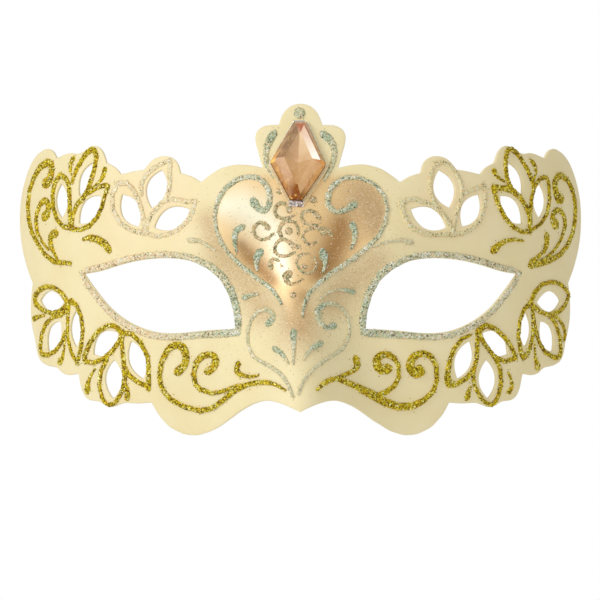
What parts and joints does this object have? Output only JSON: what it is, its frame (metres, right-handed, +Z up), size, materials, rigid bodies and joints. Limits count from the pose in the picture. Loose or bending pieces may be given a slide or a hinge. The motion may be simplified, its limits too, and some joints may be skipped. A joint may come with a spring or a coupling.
{
  "type": "venetian masquerade mask",
  "caption": "Thin curved half-face costume mask with almond eye openings, leaf cut-outs, raised glitter scrollwork, a faceted brow stone and ribbon sleeves at the temples.",
  "frame": {"origin": "on the sheet's middle line at the height of the eye corners, on the smooth wrap surface just behind the bridge of the nose", "axes": "+X towards the mask's right side as seen from the front, -Y out of the front of the face, +Z up"},
  "size_m": [0.187, 0.0761, 0.1074],
  "materials": {
    "cream_paint": "matte hand-painted cream with an airbrushed rose-gold heart",
    "peach_stone": "polished facets",
    "mirror_foil": "silvered",
    "clear_glue": "clear, glossy",
    "felt": "pressed felt",
    "hot_glue": "cloudy, semi-gloss",
    "gold_glitter": "coarse gold glitter in glue",
    "silver_glitter": "iridescent silver-green glitter in glue",
    "blush_glitter": "iridescent blush glitter in glue"
  },
  "bodies": {
    "root": {"mask_shell": "cream_paint", "gem_stone": "peach_stone", "gem_foil": "mirror_foil", "gem_glue": "clear_glue", "left_tie_patch": "felt", "right_tie_patch": "felt", "left_tie_glue": "hot_glue", "right_tie_glue": "hot_glue", "left_temple_scroll": "gold_glitter", "right_temple_scroll": "gold_glitter", "left_temple_flower": "gold_glitter", "right_temple_flower": "gold_glitter", "left_brow_dash": "gold_glitter", "right_brow_dash": "gold_glitter", "left_cheekbone_flower": "gold_glitter", "right_cheekbone_flower": "gold_glitter", "left_cheek_flower": "gold_glitter", "right_cheek_flower": "gold_glitter", "left_chin_scroll": "gold_glitter", "right_chin_scroll": "gold_glitter", "left_chin_hook": "gold_glitter", "left_eye_rim": "silver_glitter", "right_eye_rim": "silver_glitter", "left_brow_flower": "blush_glitter", "right_brow_flower": "blush_glitter", "left_heart_scroll": "silver_glitter", "right_heart_scroll": "silver_glitter", "left_heart_leaves": "silver_glitter", "right_heart_leaves": "silver_glitter", "left_heart_sprig": "silver_glitter", "right_heart_sprig": "silver_glitter", "forehead_curls": "silver_glitter", "left_crown_stroke": "silver_glitter", "right_crown_stroke": "silver_glitter", "crown_dot": "silver_glitter", "left_nose_scroll": "silver_glitter", "right_nose_scroll": "silver_glitter", "left_nose_leaf": "silver_glitter", "right_nose_leaf": "silver_glitter", "nose_drop": "silver_glitter", "left_nose_sprig": "silver_glitter", "right_nose_sprig": "silver_glitter"}
  },
  "joints": []
}
